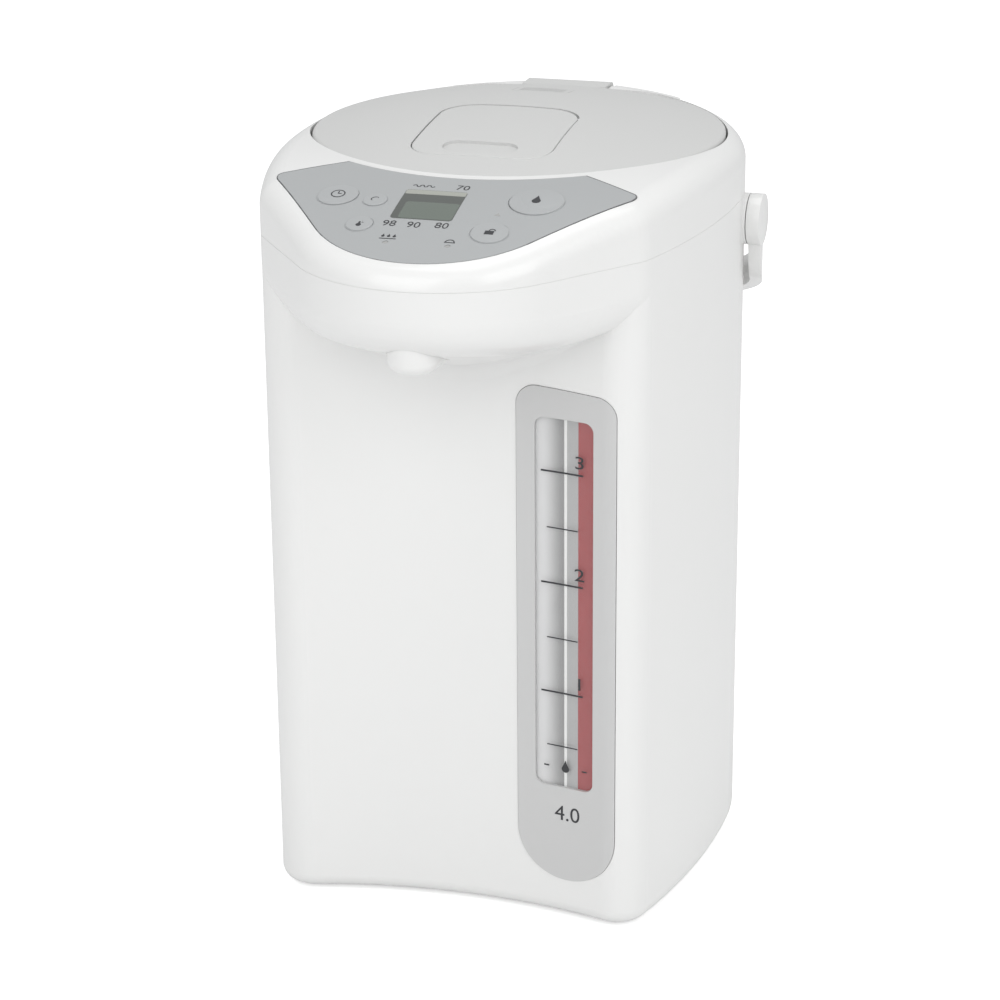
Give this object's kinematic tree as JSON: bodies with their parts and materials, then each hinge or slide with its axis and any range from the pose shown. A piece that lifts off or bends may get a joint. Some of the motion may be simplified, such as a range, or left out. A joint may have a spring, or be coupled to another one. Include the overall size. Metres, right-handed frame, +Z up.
{
  "type": "electric thermo pot",
  "caption": "Electric thermo pot: tall casing with hollow front and beak spout, domed hinged lid with lever, sloping key panel, water gauge, folding bail handle, inner pot, pump and heater.",
  "frame": {"origin": "middle of the overall footprint on the floor plane the feet stand on", "axes": "+Z up, -Y the front with the spout and keys, +X to the right seen from the front"},
  "size_m": [0.2148, 0.291, 0.342],
  "materials": {
    "bezel_silver": "silver lacquer",
    "black_rubber": "soft",
    "board_green": "solder mask",
    "clear_window": "clear",
    "copper_brass": "plated",
    "dark_plastic": "moulded",
    "lamp_clear": "tinted",
    "lcd_grey": "liquid crystal",
    "mica_brown": "mica",
    "panel_grey": "printed film",
    "red_plastic": "printed",
    "silicone": "soft",
    "steel": "brushed",
    "white_gloss": "glossy moulded",
    "white_satin": "fine satin grain",
    "zinc": "zinc plated"
  },
  "bodies": {
    "base": {"body_casing": "white_gloss", "top_ring": "white_gloss", "base_cover": "white_satin", "rubber_feet": "black_rubber", "base_screws": "zinc", "control_panel": "panel_grey", "lcd_window": "clear_window", "lcd_module": "lcd_grey", "control_board": "board_green", "indicator_lamps": "lamp_clear", "gauge_bezel": "bezel_silver", "gauge_window": "clear_window", "gauge_backing": "white_satin", "gauge_stripe": "red_plastic", "gauge_tube": "clear_window", "tube_seals": "silicone", "spout_nozzle": "white_gloss", "tip_valve_body": "white_satin", "inner_pot": "steel", "pot_gasket": "silicone", "heat_shield": "zinc", "lower_tray": "zinc", "tray_screws": "zinc", "band_heater": "mica_brown", "pot_thermostat": "dark_plastic", "pump_housing": "white_satin", "pump_motor": "steel", "lower_hose": "silicone", "upper_hose": "silicone", "power_board": "board_green", "transformer": "dark_plastic", "power_inlet": "dark_plastic", "inlet_pins": "copper_brass", "handle_pins": "steel", "hinge_pin": "steel"},
    "lid": {"lid_shell": "white_satin", "lid_base": "white_satin", "inner_cover": "steel", "lid_gasket": "silicone", "vent_cover": "white_satin", "vent_tube": "white_satin", "lever_pin": "steel", "latch_spring": "steel", "lid_screws": "zinc"},
    "lever": {"lid_lever": "white_satin"},
    "latch": {"lid_latch": "white_satin"},
    "bail": {"handle": "white_gloss"},
    "timer_button": {"key_timer": "panel_grey"},
    "reboil_button": {"key_reboil": "panel_grey"},
    "temperature_button": {"key_temperature": "panel_grey"},
    "dispense_button": {"key_dispense": "panel_grey"},
    "unlock_button": {"key_unlock": "panel_grey"},
    "impeller": {"pump_impeller": "white_satin"},
    "ball": {"tip_valve_ball": "steel"}
  },
  "joints": [
    {"name": "lid_hinge", "type": "hinge", "parent": "base", "child": "lid", "pos_m": [0, 0.12, 0.3298], "axis": [-1, 0, 0], "range_deg": [0, 85]},
    {"name": "lever_hinge", "type": "hinge", "parent": "lid", "child": "lever", "pos_m": [0, 0.02, 0.338], "axis": [-1, 0, 0], "range_deg": [0, 35]},
    {"name": "latch_slide", "type": "slide", "parent": "lid", "child": "latch", "axis": [0, 1, 0], "range_m": [0, 0.005], "deforming": ["latch_spring"]},
    {"name": "handle_swing", "type": "hinge", "parent": "base", "child": "bail", "pos_m": [0, 0.048, 0.292], "axis": [1, 0, 0], "range_deg": [0, 115]},
    {"name": "timer_press", "type": "slide", "parent": "base", "child": "timer_button", "axis": [0, 0.2471, -0.969], "range_m": [0, 0.0008], "stiffness_N_per_m": 600},
    {"name": "reboil_press", "type": "slide", "parent": "base", "child": "reboil_button", "axis": [0, 0.2471, -0.969], "range_m": [0, 0.0008], "stiffness_N_per_m": 600},
    {"name": "temperature_press", "type": "slide", "parent": "base", "child": "temperature_button", "axis": [0, 0.2471, -0.969], "range_m": [0, 0.0008], "stiffness_N_per_m": 600},
    {"name": "dispense_press", "type": "slide", "parent": "base", "child": "dispense_button", "axis": [0, 0.2471, -0.969], "range_m": [0, 0.0008], "stiffness_N_per_m": 600},
    {"name": "unlock_press", "type": "slide", "parent": "base", "child": "unlock_button", "axis": [0, 0.2471, -0.969], "range_m": [0, 0.0008], "stiffness_N_per_m": 600},
    {"name": "impeller_spin", "type": "hinge", "parent": "base", "child": "impeller", "pos_m": [0.04, -0.012, 0.03], "axis": [0, 0, 1], "continuous": true},
    {"name": "tip_ball_slide", "type": "slide", "parent": "base", "child": "ball", "axis": [0, 0, 1], "range_m": [0, 0.003]}
  ],
  "couplings": [
    {"joint": "latch_slide", "follows": "lever_hinge", "m_per_rad": 0.0081851}
  ]
}
